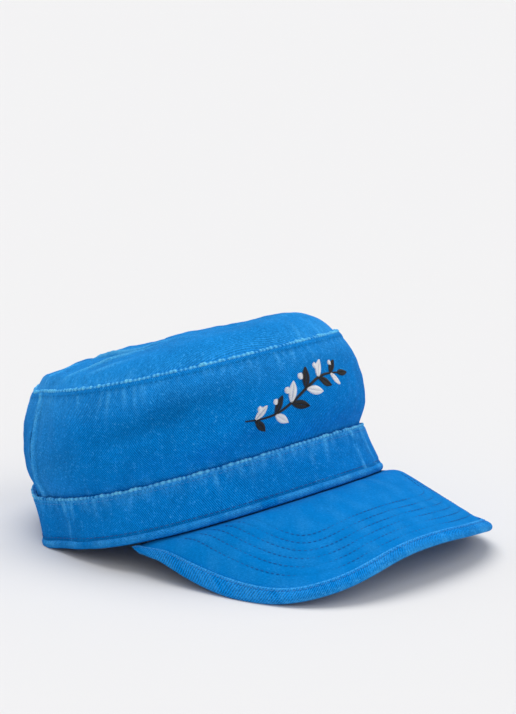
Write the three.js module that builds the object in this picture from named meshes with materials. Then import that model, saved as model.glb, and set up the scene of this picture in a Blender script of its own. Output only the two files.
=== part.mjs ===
// A soft twill field cap: round flat-topped crown, headband and a stitched peak.
// It rests on its peak and on the back of its band. Millimetres, +Z up, the peak towards -Y.
import * as THREE from 'three';

// Cloth and clearances
const CLOTH = 1.6;
const BAND_CLOTH = 2.2;
const PEAK_BOARD = 1.8;
const BINDING_CLOTH = 0.9;
const GAP = 0.3;

// How the cap stands, in degrees and millimetres
const TILT = 12.4;
const ROLL = 1.5;
const SETTLE = 0.8;

// Rings of the cap in its own frame. centre is the ring's middle along Y, depth and backDepth
// its reach to the front and to the back from there. rise is how much higher its front is and
// sideDrop how much lower its sides are. flare is its push out at the front, and corner and
// cornerDrop are how far its two soft corners stand out and hang down.
const RINGS = {
  hem: {
    height: -0.5,
    halfWidth: 96,
    depth: 89,
    backDepth: 88.3,
    centre: 0,
    rise: 0.5,
    sideDrop: 8.9,
    flare: 7.5,
    corner: 4.1,
    cornerDrop: 1,
  },
  bandSeam: {
    height: 24.6,
    halfWidth: 93,
    depth: 93.5,
    backDepth: 96.5,
    centre: 3.2,
    rise: 2.1,
    sideDrop: 7.2,
    flare: 0,
    corner: 2,
    cornerDrop: 0,
  },
  topSeam: {
    height: 78.5,
    halfWidth: 81.5,
    depth: 92.6,
    backDepth: 86.2,
    centre: 3.4,
    rise: 0,
    sideDrop: 4.9,
    flare: 0,
    corner: 0,
    cornerDrop: 0,
  },
};

// Where the rings' soft corners are, in degrees from the front, and how far they spread
const CORNER = { angle: 115, spread: 8 };

// Crown: how the wall swells between its seams, how it tucks in over the band, and its top,
// a dome that is fuller at the front and flatter at the back
const SWELL = { front: 7.2, side: 6, back: 3.9 };
const TUCK = { depth: 2.6, height: 0.16 };
const WELT = { height: 3.6, proud: 1.1 };
const DOME = { height: 10.5, frontGain: 7, backLoss: 5.5, power: 9 };
const SIDE_SEAM_ANGLE = 112;

// Rolled edge under the band
const ROLL_EDGE = { height: 4.4, proud: 0.9, thickness: 3.4, sides: 10 };

// Peak: the board is a trough bent round the head, cut to a broad rounded outline
const PEAK = {
  cornerAngle: 70,
  frontReach: 155.6,
  sideHandle: 91,
  frontHandle: 83,
  splay: 1.7,
  slope: 0.604,
  troughRadius: 97,
  rootPower: 2.25,
  edgePower: 2.3,
  bendHalfWidth: 86,
  bendDrop: 35.8,
  crestHeight: 4,
  twist: -0.034,
  tuckUnder: 1.6,
  frontBlend: 8,
  cornerBlend: 26,
  cornerLength: 6,
};
const BINDING = { width: 6.6, rootClearance: 3.2 };

// Folds of the crown's wall: angle from the front and height up the wall of the middle,
// half length and half width, depth, and lean of the long way from level, in degrees
const WALL_FOLDS = [
  { name: 'long side dent', angle: -56, height: 0.6, halfLength: 40, halfWidth: 7, depth: 2.5, lean: 10 },
  { name: 'dent under it', angle: -98, height: 0.36, halfLength: 20, halfWidth: 6, depth: 1.3, lean: 14 },
  { name: 'swell over band', angle: -58, height: 0.32, halfLength: 30, halfWidth: 7, depth: -1.1, lean: -6 },
  { name: 'front dent', angle: -22, height: 0.2, halfLength: 20, halfWidth: 6, depth: 1.9, lean: 12 },
  { name: 'left side dent', angle: 84, height: 0.55, halfLength: 40, halfWidth: 8, depth: 2, lean: -18 },
  { name: 'back dent', angle: 172, height: 0.42, halfLength: 30, halfWidth: 8, depth: 1.8, lean: 12 },
  { name: 'back left dent', angle: 134, height: 0.7, halfLength: 24, halfWidth: 7, depth: 1.4, lean: -30 },
];

// Folds of the crown's top, by plan place in the cap's frame
const TOP_FOLDS = [
  { name: 'near fold', x: -66, y: 0, halfLength: 26, halfWidth: 4.5, depth: 1.6, heading: -56 },
  { name: 'second fold', x: -46, y: 12, halfLength: 40, halfWidth: 5, depth: 1.8, heading: -84 },
  { name: 'third fold', x: -22, y: 40, halfLength: 34, halfWidth: 6, depth: 1.6, heading: 62 },
  { name: 'far dent', x: 34, y: 30, halfLength: 32, halfWidth: 9, depth: 1.8, heading: 120 },
  { name: 'front dent', x: 12, y: -48, halfLength: 26, halfWidth: 9, depth: 1.2, heading: 70 },
];

// Mesh fineness
const AROUND = 72;
const UP_WALL = 9;
const UP_BAND = 3;
const ALONG_PEAK = 36;
const ACROSS_PEAK = 7;
const TOP_RINGS = 7;
const NORMAL_STEP = 0.01;

// How quickly the folds fade out towards the seams: the share of the height, or of the top's
// reach, over which they come to full depth is one over this
const WALL_FOLD_FADE = 4;
const TOP_FOLD_FADE = 3;

const COLOURS = {
  wall: '#0f6dbb',
  top: '#1f80cf',
  band: '#1272c0',
  edge: '#2b86d2',
  peak: '#0d7acb',
  binding: '#2184d0',
};

const radians = THREE.MathUtils.degToRad;
const lerp = THREE.MathUtils.lerp;
const smooth = (t) => THREE.MathUtils.smoothstep(t, 0, 1);
const halfway = (a, b) => (a + b) / 2;
const arch = (t) => 4 * t * (1 - t);
const fullTurn = 2 * Math.PI;

// A point of a ring at an angle from the front, positive towards +X
function ringPoint(ring, angle) {
  const forward = Math.cos(angle);
  const sideways = Math.sin(angle);
  const fromCorner = (Math.acos(forward) - radians(CORNER.angle)) / radians(CORNER.spread);
  const corner = Math.exp(-fromCorner * fromCorner);
  const proud = ring.flare * Math.max(forward, 0) + ring.corner * corner;
  const depth = forward > 0 ? ring.depth : ring.backDepth;
  const drop = ring.sideDrop * sideways * sideways + ring.cornerDrop * corner;
  return new THREE.Vector3(
    (ring.halfWidth + proud) * sideways,
    ring.centre - (depth + proud) * forward,
    ring.height + ring.rise * forward - drop,
  );
}

function outward(angle) {
  return new THREE.Vector3(Math.sin(angle), -Math.cos(angle), 0);
}

// From the cap's own frame to the way it stands, pressed flat where it meets the surface
const stand = new THREE.Matrix4()
  .makeRotationX(radians(-TILT))
  .multiply(new THREE.Matrix4().makeRotationY(radians(-ROLL)));
const lift = RINGS.hem.depth * Math.sin(radians(TILT)) - SETTLE;

function settle(point) {
  const placed = point.clone().applyMatrix4(stand);
  placed.z = Math.max(placed.z + lift, 0);
  return placed;
}

// One closed body from loops of points. A loop runs out along one side and back along the
// other, so that point k lies across from point length - 1 - k.
function bodyFromLoops(loops, closed) {
  const count = loops[0].length;
  const positions = loops.flat().flatMap((point) => settle(point).toArray());
  const triangles = [];
  const quad = (a, b, c, d) => triangles.push(a, b, c, a, c, d);
  const bands = closed ? loops.length : loops.length - 1;
  for (let i = 0; i < bands; i += 1) {
    const here = i * count;
    const next = ((i + 1) % loops.length) * count;
    for (let k = 0; k < count; k += 1) {
      const after = (k + 1) % count;
      quad(here + k, next + k, next + after, here + after);
    }
  }
  if (!closed) {
    const last = (loops.length - 1) * count;
    for (let k = 0; k < count / 2 - 1; k += 1) {
      const across = count - 1 - k;
      quad(k, k + 1, across - 1, across);
      quad(last + across, last + across - 1, last + k + 1, last + k);
    }
  }
  return outwardGeometry(positions, triangles);
}

// Turns the faces round if they enclose a negative volume
function outwardGeometry(positions, triangles) {
  const at = (index) => new THREE.Vector3().fromArray(positions, 3 * index);
  let volume = 0;
  for (let i = 0; i < triangles.length; i += 3) {
    volume += at(triangles[i]).dot(at(triangles[i + 1]).cross(at(triangles[i + 2])));
  }
  const index = volume < 0 ? triangles.slice().reverse() : triangles;
  const geometry = new THREE.BufferGeometry();
  geometry.setAttribute('position', new THREE.Float32BufferAttribute(positions, 3));
  geometry.setIndex(index);
  geometry.computeVertexNormals();
  return geometry;
}

function mesh(name, geometry, colour) {
  const material = new THREE.MeshStandardMaterial({ color: colour, roughness: 0.9, metalness: 0 });
  const result = new THREE.Mesh(geometry, material);
  result.name = name;
  return result;
}

// Depth of a soft groove at a distance along and across its middle line
function groove(along, across, fold) {
  const a = along / fold.halfLength;
  const c = across / fold.halfWidth;
  return fold.depth * Math.exp(-a * a - c * c);
}

// How far the folds pull the wall in, at an angle and a share of the wall's height
function wallFold(angle, share) {
  const radius = RINGS.bandSeam.halfWidth;
  const rise = RINGS.topSeam.height - RINGS.bandSeam.height;
  return WALL_FOLDS.reduce((sum, fold) => {
    const turn = Math.atan2(Math.sin(angle - radians(fold.angle)), Math.cos(angle - radians(fold.angle)));
    const right = turn * radius;
    const up = (share - fold.height) * rise;
    const lean = radians(fold.lean);
    const along = right * Math.cos(lean) + up * Math.sin(lean);
    const across = up * Math.cos(lean) - right * Math.sin(lean);
    return sum + groove(along, across, fold);
  }, 0);
}

function topFold(x, y) {
  return TOP_FOLDS.reduce((sum, fold) => {
    const heading = radians(fold.heading);
    const dx = x - fold.x;
    const dy = y - fold.y;
    const along = dx * Math.cos(heading) + dy * Math.sin(heading);
    const across = dy * Math.cos(heading) - dx * Math.sin(heading);
    return sum + groove(along, across, fold);
  }, 0);
}

function swellAt(angle) {
  const forward = Math.cos(angle);
  const sideways = Math.sin(angle) ** 2;
  const ends = forward > 0 ? SWELL.front : SWELL.back;
  return lerp(ends, SWELL.side, sideways);
}

// Outer surface of the crown's wall. share is 0 at the band and 1 at the top seam.
function wallPoint(angle, share) {
  const point = ringPoint(RINGS.bandSeam, angle).lerp(ringPoint(RINGS.topSeam, angle), share);
  const span = RINGS.topSeam.height - RINGS.bandSeam.height;
  const swell = swellAt(angle) * arch(share);
  const tuck = TUCK.depth * Math.exp(-((share / TUCK.height) ** 2));
  const fade = smooth(WALL_FOLD_FADE * share) * smooth(WALL_FOLD_FADE * (1 - share));
  const fromTop = Math.min(((1 - share) * span) / WELT.height, 1);
  const welt = WELT.proud * Math.cos((Math.PI / 2) * fromTop);
  return point.addScaledVector(outward(angle), swell - tuck + welt - fade * wallFold(angle, share));
}

// One panel of the wall between two angles
function wallPanel(from, to, steps) {
  const shares = [];
  const span = RINGS.topSeam.height - RINGS.bandSeam.height;
  const foot = GAP / span;
  const weltFoot = 1 - WELT.height / span;
  for (let i = 0; i <= UP_WALL; i += 1) {
    shares.push(lerp(foot, weltFoot, i / UP_WALL));
  }
  shares.push(halfway(weltFoot, 1), 1);
  const loops = [];
  for (let i = 0; i <= steps; i += 1) {
    const angle = lerp(from, to, i / steps);
    const outer = shares.map((share) => wallPoint(angle, share));
    const inner = outer.map((point) => point.clone().addScaledVector(outward(angle), -CLOTH));
    loops.push([...outer, ...inner.reverse()]);
  }
  return bodyFromLoops(loops, false);
}

// The top: a shallow dome of cloth whose rim lies against the inside of the wall's welt
function topPoint(angle, reach) {
  const ring = RINGS.topSeam;
  const rim = ringPoint(ring, angle).addScaledVector(outward(angle), WELT.proud - CLOTH - GAP);
  const x = rim.x * reach;
  const y = lerp(ring.centre, rim.y, reach);
  const edge = (rim.z - ring.height) * reach * reach;
  const forward = (ring.centre - y) / ring.depth;
  const height = DOME.height + forward * (forward > 0 ? DOME.frontGain : DOME.backLoss);
  const dome = height * (1 - reach ** DOME.power);
  const fade = smooth(TOP_FOLD_FADE * (1 - reach));
  return new THREE.Vector3(x, y, ring.height + edge + dome - fade * topFold(x, y));
}

function crownTop() {
  const positions = [];
  const triangles = [];
  const add = (point) => positions.push(...settle(point).toArray()) / 3 - 1;
  const layer = (drop) => {
    const down = new THREE.Vector3(0, 0, -drop);
    const centre = add(topPoint(0, 0).add(down));
    const rings = [];
    for (let i = 1; i <= TOP_RINGS; i += 1) {
      const reach = Math.sin((Math.PI / 2) * (i / TOP_RINGS));
      const ring = [];
      for (let k = 0; k < AROUND; k += 1) {
        ring.push(add(topPoint((fullTurn * k) / AROUND, reach).add(down)));
      }
      rings.push(ring);
    }
    return { centre, rings };
  };
  const outer = layer(0);
  const inner = layer(CLOTH);
  for (let k = 0; k < AROUND; k += 1) {
    const n = (k + 1) % AROUND;
    triangles.push(outer.centre, outer.rings[0][k], outer.rings[0][n]);
    triangles.push(inner.centre, inner.rings[0][n], inner.rings[0][k]);
    for (let i = 0; i < TOP_RINGS - 1; i += 1) {
      const [a, b] = [outer.rings[i], outer.rings[i + 1]];
      const [c, d] = [inner.rings[i], inner.rings[i + 1]];
      triangles.push(a[k], b[k], b[n], a[k], b[n], a[n]);
      triangles.push(c[k], d[n], d[k], c[k], c[n], d[n]);
    }
    const a = outer.rings[TOP_RINGS - 1];
    const c = inner.rings[TOP_RINGS - 1];
    triangles.push(a[k], c[k], c[n], a[k], c[n], a[n]);
  }
  return outwardGeometry(positions, triangles);
}

// The headband, from the rolled edge to the crown's seam
function band() {
  const span = RINGS.bandSeam.height;
  const foot = (ROLL_EDGE.height + GAP) / span;
  const loops = [];
  for (let i = 0; i < AROUND; i += 1) {
    const angle = (fullTurn * i) / AROUND;
    const low = ringPoint(RINGS.hem, angle);
    const high = ringPoint(RINGS.bandSeam, angle);
    const outer = [];
    for (let k = 0; k <= UP_BAND; k += 1) {
      outer.push(low.clone().lerp(high, lerp(foot, 1, k / UP_BAND)));
    }
    const inner = outer.map((point) => point.clone().addScaledVector(outward(angle), -BAND_CLOTH));
    loops.push([...outer, ...inner.reverse()]);
  }
  return bodyFromLoops(loops, true);
}

// The rolled edge: a flattened bead of cloth under the band
function bandEdge() {
  const loops = [];
  for (let i = 0; i < AROUND; i += 1) {
    const angle = (fullTurn * i) / AROUND;
    const low = ringPoint(RINGS.hem, angle);
    const high = ringPoint(RINGS.bandSeam, angle);
    const halfHeight = ROLL_EDGE.height / 2;
    const halfThickness = ROLL_EDGE.thickness / 2;
    const middle = low.clone().lerp(high, halfHeight / RINGS.bandSeam.height);
    middle.addScaledVector(outward(angle), ROLL_EDGE.proud - halfThickness);
    const loop = [];
    for (let k = 0; k < ROLL_EDGE.sides; k += 1) {
      const turn = (fullTurn * halfway(k, k + 1)) / ROLL_EDGE.sides;
      const point = middle.clone().addScaledVector(outward(angle), halfThickness * Math.cos(turn));
      point.z += halfHeight * Math.sin(turn);
      loop.push(point);
    }
    loops.push(loop);
  }
  return bodyFromLoops(loops, true);
}

const peakCorner = ringPoint(RINGS.hem, radians(PEAK.cornerAngle));
const peakFront = ringPoint(RINGS.hem, 0);

// How far the peak's bend takes it down at a distance from its middle line. A higher power
// keeps the middle flatter and turns the sides down faster.
function peakBend(x, power) {
  const trough = (across) => 1 - (1 - Math.abs(across / PEAK.troughRadius) ** power) ** (1 / power);
  return (PEAK.bendDrop * trough(x)) / trough(PEAK.bendHalfWidth);
}

// Height of the peak's upper face over its plan
function peakHeight(x, y) {
  const forward = THREE.MathUtils.clamp((peakCorner.y - y) / (peakCorner.y + PEAK.frontReach), 0, 1);
  const bend = peakBend(x, lerp(PEAK.rootPower, PEAK.edgePower, forward));
  return PEAK.crestHeight + PEAK.slope * (y - peakFront.y) - bend + PEAK.twist * x * forward;
}

// The peak's outline in plan, one smooth curve a side, from a corner to the middle of the front
function peakOutline(side, share) {
  const start = new THREE.Vector2(side * peakCorner.x, peakCorner.y - PEAK.cornerLength);
  const middle = new THREE.Vector2(0, -PEAK.frontReach);
  const curve = new THREE.CubicBezierCurve(
    start,
    new THREE.Vector2(start.x + side * PEAK.splay, start.y - PEAK.sideHandle),
    new THREE.Vector2(side * PEAK.frontHandle, middle.y),
    middle,
  );
  return curve.getPoint(share);
}

// A station of the peak, from -1 at one corner to 1 at the other: its root and its outer edge
function peakStation(station) {
  const side = station < 0 ? -1 : 1;
  const share = 1 - Math.abs(station);
  const angle = side * radians(PEAK.cornerAngle) * Math.abs(station);
  const root = ringPoint(RINGS.hem, angle).addScaledVector(outward(angle), -PEAK.tuckUnder);
  root.z -= GAP;
  const edge = peakOutline(side, share);
  return { root, edge };
}

// The upper face between root and edge. The root lies just under the rolled edge.
function peakPoint(station, reach) {
  const { root, edge } = peakStation(station);
  const x = lerp(root.x, edge.x, reach);
  const y = lerp(root.y, edge.y, reach);
  const misfit = root.z - peakHeight(root.x, root.y);
  const fromRoot = reach * Math.hypot(edge.x - root.x, edge.y - root.y);
  const blendLength = lerp(PEAK.frontBlend, PEAK.cornerBlend, Math.abs(station) ** 3);
  const blend = 1 - smooth(fromRoot / blendLength);
  return new THREE.Vector3(x, y, peakHeight(x, y) + misfit * blend);
}

// The upper face's normal
function peakNormal(station, reach) {
  const step = NORMAL_STEP;
  const inner = peakPoint(station, Math.max(reach - step, 0));
  const outer = peakPoint(station, Math.min(reach + step, 1));
  const left = peakPoint(Math.max(station - step, -1), Math.max(reach, step));
  const right = peakPoint(Math.min(station + step, 1), Math.max(reach, step));
  const normal = outer.sub(inner).cross(right.sub(left)).normalize();
  return normal.z < 0 ? normal.negate() : normal;
}

function peakStations(steps) {
  return Array.from({ length: steps + 1 }, (_, i) => -1 + (2 * i) / steps);
}

// Shares of the way across the peak at a station: where the binding starts, and where the
// board and the binding's fold end
function peakReaches(station) {
  const { root, edge } = peakStation(station);
  const length = Math.hypot(root.x - edge.x, root.y - edge.y);
  return {
    bindingStart: 1 - Math.min(BINDING.width, length - BINDING.rootClearance) / length,
    boardEnd: 1 - (BINDING_CLOTH + GAP) / length,
    foldEnd: 1 - BINDING_CLOTH / length,
  };
}

function peakOffset(station, reach, rise) {
  return peakPoint(station, reach).addScaledVector(peakNormal(station, reach), rise);
}

// The cloth-covered board, whose edge lies inside the binding
function peak() {
  const loops = peakStations(ALONG_PEAK).map((station) => {
    const { bindingStart, boardEnd } = peakReaches(station);
    const reaches = [];
    for (let k = 0; k < ACROSS_PEAK; k += 1) {
      reaches.push(lerp(0, bindingStart, k / ACROSS_PEAK));
    }
    reaches.push(bindingStart, halfway(bindingStart, boardEnd), boardEnd);
    const upper = reaches.map((reach) => peakOffset(station, reach, 0));
    const lower = reaches.map((reach) => peakOffset(station, reach, -PEAK_BOARD));
    return [...upper, ...lower.reverse()];
  });
  return bodyFromLoops(loops, false);
}

// The binding: a strip of cloth folded over the peak's edge
function peakBinding() {
  const top = GAP + BINDING_CLOTH;
  const bottom = -PEAK_BOARD - top;
  const loops = peakStations(ALONG_PEAK).map((station) => {
    const { bindingStart, boardEnd, foldEnd } = peakReaches(station);
    const reaches = [bindingStart, halfway(bindingStart, boardEnd), boardEnd];
    const outer = [
      ...reaches.map((reach) => peakOffset(station, reach, top)),
      peakOffset(station, 1, GAP),
      peakOffset(station, 1, bottom + top - GAP),
      ...reaches.slice().reverse().map((reach) => peakOffset(station, reach, bottom)),
    ];
    const inner = [
      ...reaches.map((reach) => peakOffset(station, reach, GAP)),
      peakOffset(station, foldEnd, GAP),
      peakOffset(station, foldEnd, -PEAK_BOARD - GAP),
      ...reaches.slice().reverse().map((reach) => peakOffset(station, reach, -PEAK_BOARD - GAP)),
    ];
    return [...outer, ...inner.reverse()];
  });
  return bodyFromLoops(loops, false);
}

const cap = new THREE.Group();
const seamHalfGap = GAP / 2 / RINGS.bandSeam.halfWidth;
const seam = radians(SIDE_SEAM_ANGLE);
const frontSteps = Math.round((AROUND * seam) / Math.PI);
const wallFront = wallPanel(seamHalfGap - seam, seam - seamHalfGap, frontSteps);
const wallBack = wallPanel(seam + seamHalfGap, fullTurn - seam - seamHalfGap, AROUND - frontSteps);
cap.add(mesh('crown_top', crownTop(), COLOURS.top));
cap.add(mesh('wall_front', wallFront, COLOURS.wall));
cap.add(mesh('wall_back', wallBack, COLOURS.wall));
cap.add(mesh('band', band(), COLOURS.band));
cap.add(mesh('band_edge', bandEdge(), COLOURS.edge));
cap.add(mesh('peak', peak(), COLOURS.peak));
cap.add(mesh('peak_binding', peakBinding(), COLOURS.binding));

// The origin is under the middle of the cap's box
const middle = new THREE.Box3().setFromObject(cap).getCenter(new THREE.Vector3());
cap.position.set(-middle.x, -middle.y, 0);

export default cap;
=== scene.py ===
"""A washed blue twill field cap resting on its peak and the back of its band.

Shapes are worked out in millimetres in the cap's own upright frame (z up, -y the way the peak
points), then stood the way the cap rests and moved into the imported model's frame, in metres.
"""

import math

import bpy
import numpy as np
from mathutils import Matrix, Vector


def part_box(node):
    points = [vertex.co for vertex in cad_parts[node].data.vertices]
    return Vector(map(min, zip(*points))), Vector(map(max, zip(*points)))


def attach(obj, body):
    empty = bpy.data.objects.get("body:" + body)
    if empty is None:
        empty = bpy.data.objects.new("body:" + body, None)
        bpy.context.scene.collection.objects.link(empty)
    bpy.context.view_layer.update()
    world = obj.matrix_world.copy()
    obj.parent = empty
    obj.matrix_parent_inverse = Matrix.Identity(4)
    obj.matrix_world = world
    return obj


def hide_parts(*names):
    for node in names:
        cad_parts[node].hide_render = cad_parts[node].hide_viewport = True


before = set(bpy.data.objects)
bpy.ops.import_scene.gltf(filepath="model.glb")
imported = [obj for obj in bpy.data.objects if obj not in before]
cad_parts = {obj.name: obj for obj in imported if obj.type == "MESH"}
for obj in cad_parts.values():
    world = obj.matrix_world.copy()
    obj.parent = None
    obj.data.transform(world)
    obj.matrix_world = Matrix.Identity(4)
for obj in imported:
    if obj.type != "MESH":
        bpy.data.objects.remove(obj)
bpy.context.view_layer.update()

MM = 0.001
FULL_TURN = 2 * math.pi

# Cloth and clearances, in millimetres
CLOTH = 1.6
BAND_CLOTH = 2.2
PEAK_BOARD = 1.8
BINDING_CLOTH = 0.9
GAP = 0.3

# How the cap stands, in degrees and millimetres
TILT = 12.4
ROLL = 1.5
SETTLE = 0.8

# Rings of the cap. centre is the ring's middle along y, depth and back_depth its reach to the
# front and to the back from there. rise is how much higher its front is and side_drop how much
# lower its sides are. flare is its push out at the front, and corner and corner_drop are how far
# its two soft corners stand out and hang down.
RING_COLUMNS = "height half_width depth back_depth centre rise side_drop flare corner corner_drop".split()
HEM = dict(zip(RING_COLUMNS, (-0.5, 96, 89, 88.3, 0, 0.5, 8.9, 7.5, 4.1, 1)))
BAND_SEAM = dict(zip(RING_COLUMNS, (24.6, 93, 93.5, 96.5, 3.2, 2.1, 7.2, 0, 2, 0)))
TOP_SEAM = dict(zip(RING_COLUMNS, (78.5, 81.5, 92.6, 86.2, 3.4, 0, 4.9, 0, 0, 0)))
CORNER = dict(angle=115, spread=8)

# Crown: how the wall swells between its seams, tucks in over the band, and stands proud under
# the top seam and at its front's shoulder, and its top, a dome that is fuller at the front
SWELL = dict(front=7.2, side=6, back=3.9)
TUCK = dict(strength=2.6, spread=0.16)
WELT = dict(height=3.6, proud=1.1)
SHOULDER = dict(strength=1.3, middle=0.84, spread=0.16)
DOME = dict(height=10.5, front_gain=7, back_loss=5.5, power=9)
SIDE_SEAM = math.radians(112)
WALL_RADIUS = BAND_SEAM["half_width"]
WALL_SPAN = TOP_SEAM["height"] - BAND_SEAM["height"]

# The back of the crown, from where the angle's cosine is starts: how far its top seam dips, how
# much higher its wall swells, and the share of the welt that it loses
FLAT_BACK = dict(starts=-0.3, length=0.35, dip=3.2, high_swell=0.35, welt_loss=0.8)

# Rolled edge under the band, and how far the band's foot reaches into it
ROLL_EDGE = dict(height=4.4, proud=0.9, thickness=3.4, lap=0.4)

# Peak: a trough bent round the head, cut to a broad rounded outline
PEAK = dict(
    corner_angle=70,
    front_reach=155.6,
    side_handle=91,
    front_handle=83,
    splay=1.7,
    slope=0.604,
    trough_radius=97,
    root_power=2.25,
    edge_power=2.3,
    bend_half_width=86,
    bend_drop=35.8,
    crest_height=4,
    twist=-0.034,
    tuck_under=1.6,
    corner_length=6,
)
BINDING = dict(width=6.6, corner_width=12.5, widens_from=0.45, widens_over=0.4)

# The cloth's own set on the peak: it leaves the rolled edge level and turns down softly, its far
# side lies higher at the front, its near side sags, its ends are rounded and the near one is
# pressed down
ROOT_LEVEL = dict(front_rise=0.06, corner_rise=-0.52, softness=1.2)
FAR_LIFT = dict(height=4, starts=25, length=60)
NEAR_SAG = dict(strength=3.2, middle=-54, spread=28)
PEAK_END = dict(length=0.03, least=0.8, pressed=1.1, pressed_length=0.14)
FAR_CUT = dict(strength=0.29, middle=0.9, spread=0.17)

# Folds of the crown's wall: angle from the front in degrees and share of the height at the
# middle, half length, half width and depth, and lean of the long way from level in degrees
FOLD_COLUMNS = ("angle", "height", "half_length", "half_width", "depth", "lean")
WALL_FOLDS = [
    (-56, 0.6, 40, 7, 2.5, 10),
    (-98, 0.36, 20, 6, 1.3, 14),
    (-58, 0.32, 30, 7, -1.1, -6),
    (-22, 0.2, 20, 6, 1.9, 12),
    (2, 0.74, 20, 8, 1.3, 0),
    (84, 0.55, 40, 8, 2, -18),
    (172, 0.42, 30, 8, 1.8, 12),
    (134, 0.7, 24, 7, 1.4, -30),
]
WALL_FOLD_FADE = 4
DEEPEST_SHADE = 4

# Folds of the crown's top, by plan place, with the heading of the long way in degrees
TOP_FOLD_COLUMNS = ("x", "y", "half_length", "half_width", "depth", "heading")
TOP_FOLDS = [
    (-66, 0, 26, 4.5, 1.6, -56),
    (-46, 12, 40, 5, 1.8, -84),
    (-22, 40, 34, 6, 1.6, 62),
    (34, 30, 32, 9, 1.8, 120),
    (12, -48, 26, 9, 1.2, 70),
]
TOP_FOLD_FADE = 3
RIM_FADE = 12

# Thin raised creases beside the top's folds, worn pale along their crests
CREASES = [
    (-61, -6, 24, 1.6, 1.9, -56),
    (-41, 12, 38, 1.8, 1.9, -86),
    (-56, 30, 20, 1.6, 1.2, -30),
    (-14, 44, 30, 2.2, 0.6, 64),
    (-70, -14, 12, 1.5, 0.7, -64),
    (46, -52, 20, 2.6, 0.5, 40),
    (24, -66, 18, 2.4, 0.4, 12),
]
PUFF = dict(height=2.6, inside=5, spread=5, angle=-128, turn=42)

# Uneven cloth: rows of how far apart its rises lie, how high they are, and their seed
RISES = {
    "wall": [(34, 0.4, 3), (9, 0.14, 4)],
    "top": [(30, 0.4, 22), (9, 0.12, 23)],
    "band": [(26, 0.25, 33)],
    "peak": [(24, 0.16, 51)],
}

# Pleats that a seam draws into the cloth beside it, in millimetres, and how pale they are worn
PLEAT_COLUMNS = ("pitch", "half_width", "shortest", "longest", "depth", "slant", "wear", "seed")
PLEATS = {
    "under top seam": (5.4, 1.5, 3, 12, 0.6, 0.5, 0.22, 11),
    "over top seam": (6.5, 1.8, 2, 9, 0.4, 0.4, 0.16, 21),
    "under band seam": (5.8, 1.5, 2.5, 9, 0.5, 0.3, 0.28, 31),
    "over band seam": (7, 2, 2, 6, 0.35, 0.4, 0.1, 12),
}
PLEATS_FROM = -210
PLEATS_TO = 410

# Upright streaks that wear has left on the band: angle from the front, half width, strength
BAND_STREAKS = [
    (18, 1.6, 0.5),
    (30, 2.2, 0.55),
    (-6, 1.3, 0.25),
    (-121, 3, 0.4),
    (-97, 1.6, 0.25),
    (150, 2, 0.4),
]

# Mesh fineness
AROUND = 720
WALL_ROWS = 46
WELT_ROWS = 12
BAND_ROWS = 28
TOP_RINGS = 90
TOP_AROUND = 520
ROLL_SIDES = 20
PEAK_STATIONS = 400
PEAK_ROWS = 80
FLAP_ROWS = 3
BINDING_ROWS = 14
FOLD_SIDES = 10
ROPE_AROUND = 1500
ROPE_SIDES = 8
THREAD_SIDES = 6
THREAD_POINTS = 5


def smooth(t):
    t = np.clip(t, 0, 1)
    return t * t * (3 - 2 * t)


def lerp(a, b, t):
    return a + (b - a) * t


def bell(distance, width):
    """1 at no distance, falling smoothly to nothing past about twice the width."""
    return np.exp(-((distance / width) ** 2))


def stripe(distance, strength, spread, middle=0):
    """A soft stripe, of a strength along its middle and fading as bell does."""
    return strength * bell(distance - middle, spread)


def hump(t):
    """Nothing at 0 and 1, and 1 halfway."""
    return 4 * t * (1 - t)


def ring_point(ring, angle):
    """A point of a ring at an angle from the front, positive towards +x."""
    forward = np.cos(angle)
    sideways = np.sin(angle)
    from_corner = np.degrees(np.arccos(np.clip(forward, -1, 1))) - CORNER["angle"]
    corner = bell(from_corner, CORNER["spread"])
    proud = ring["flare"] * np.maximum(forward, 0) + ring["corner"] * corner
    depth = np.where(forward > 0, ring["depth"], ring["back_depth"])
    x = (ring["half_width"] + proud) * sideways
    y = ring["centre"] - (depth + proud) * forward
    z = ring["height"] + ring["rise"] * forward
    z = z - ring["side_drop"] * sideways**2 - ring["corner_drop"] * corner
    return np.stack([x, y, z], -1)


def outward(angle):
    return np.stack([np.sin(angle), -np.cos(angle), np.zeros_like(angle)], -1)


def unit(vectors):
    return vectors / np.linalg.norm(vectors, axis=-1, keepdims=True)


# From the cap's own frame to the way it stands, pressed flat where it meets the floor
TILTED = Matrix.Rotation(math.radians(-TILT), 3, "X")
STAND = np.array(TILTED @ Matrix.Rotation(math.radians(-ROLL), 3, "Y"))
LIFT = HEM["depth"] * math.sin(math.radians(TILT)) - SETTLE


def stood(points):
    turned = points @ STAND.T
    turned[..., 2] = np.maximum(turned[..., 2] + LIFT, 0)
    return turned


def rolled_edge_loop(angle, sides):
    """The oval section of the rolled edge, one loop for each angle."""
    low = ring_point(HEM, angle)
    high = ring_point(BAND_SEAM, angle)
    half_height = ROLL_EDGE["height"] / 2
    half_thickness = ROLL_EDGE["thickness"] / 2
    middle = lerp(low, high, half_height / BAND_SEAM["height"])
    middle = middle + outward(angle) * (ROLL_EDGE["proud"] - half_thickness)
    turn = FULL_TURN * (np.arange(sides) + 0.5) / sides
    points = middle[:, None] + outward(angle)[:, None] * (half_thickness * np.cos(turn))[:, None]
    points[..., 2] += half_height * np.sin(turn)
    return points


def frame_shift():
    """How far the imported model's frame lies from the cap's, read from the rolled edge's box."""
    ring = stood(rolled_edge_loop(np.linspace(-math.pi, math.pi, AROUND), ROLL_SIDES)).reshape(-1, 3)
    low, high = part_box("band_edge")
    packed = (np.array(low) + np.array(high)) / 2 / MM
    here = (ring.min(0) + ring.max(0)) / 2
    return np.array([packed[0] - here[0], packed[1] - here[1], 0])


SHIFT = frame_shift()


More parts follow.
